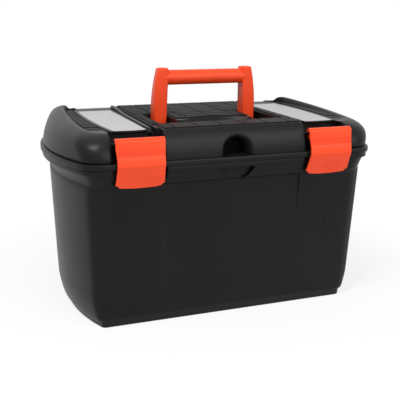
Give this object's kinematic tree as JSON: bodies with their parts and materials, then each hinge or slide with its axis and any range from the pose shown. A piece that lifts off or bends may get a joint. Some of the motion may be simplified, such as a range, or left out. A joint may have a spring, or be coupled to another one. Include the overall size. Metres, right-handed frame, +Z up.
{
  "type": "grooming box",
  "caption": "Moulded plastic grooming box with a hinged domed lid, folding carry handle, front latches, hatched small-parts wells in the lid and a lift-out tray.",
  "frame": {"origin": "middle of the base, on the surface that the box stands on", "axes": "+X along the front to the right, +Y to the back, +Z up"},
  "size_m": [0.404, 0.2873, 0.29],
  "materials": {
    "body": "moulded polypropylene, fine satin grain",
    "orange": "moulded, satin",
    "hatch": "frosted clear plastic",
    "pin": "drawn wire"
  },
  "bodies": {
    "tub": {"tub": "body", "tray": "body", "left_hinge_pin": "pin", "right_hinge_pin": "pin"},
    "lid": {"lid": "body", "left_handle_pin": "pin", "right_handle_pin": "pin", "left_latch_pin": "pin", "right_latch_pin": "pin"},
    "handle": {"handle": "orange"},
    "left_latch": {"left_latch": "orange"},
    "right_latch": {"right_latch": "orange"},
    "left_hatch": {"left_hatch": "hatch"},
    "right_hatch": {"right_hatch": "hatch"}
  },
  "joints": [
    {"name": "lid_hinge", "type": "hinge", "parent": "tub", "child": "lid", "pos_m": [0, 0.1405, 0.193], "axis": [-1, 0, 0], "range_deg": [0, 105]},
    {"name": "handle_fold", "type": "hinge", "parent": "lid", "child": "handle", "pos_m": [0, -0.012, 0.22], "axis": [1, 0, 0], "range_deg": [0, 85]},
    {"name": "left_latch_swing", "type": "hinge", "parent": "lid", "child": "left_latch", "pos_m": [-0.1135, -0.121, 0.218], "axis": [-1, 0, 0], "range_deg": [0, 90]},
    {"name": "right_latch_swing", "type": "hinge", "parent": "lid", "child": "right_latch", "pos_m": [0.1135, -0.121, 0.218], "axis": [-1, 0, 0], "range_deg": [0, 90]},
    {"name": "left_hatch_hinge", "type": "hinge", "parent": "lid", "child": "left_hatch", "pos_m": [-0.12, 0.09, 0.2278], "axis": [-1, 0, 0], "range_deg": [0, 95]},
    {"name": "right_hatch_hinge", "type": "hinge", "parent": "lid", "child": "right_hatch", "pos_m": [0.12, 0.09, 0.2278], "axis": [-1, 0, 0], "range_deg": [0, 95]}
  ]
}
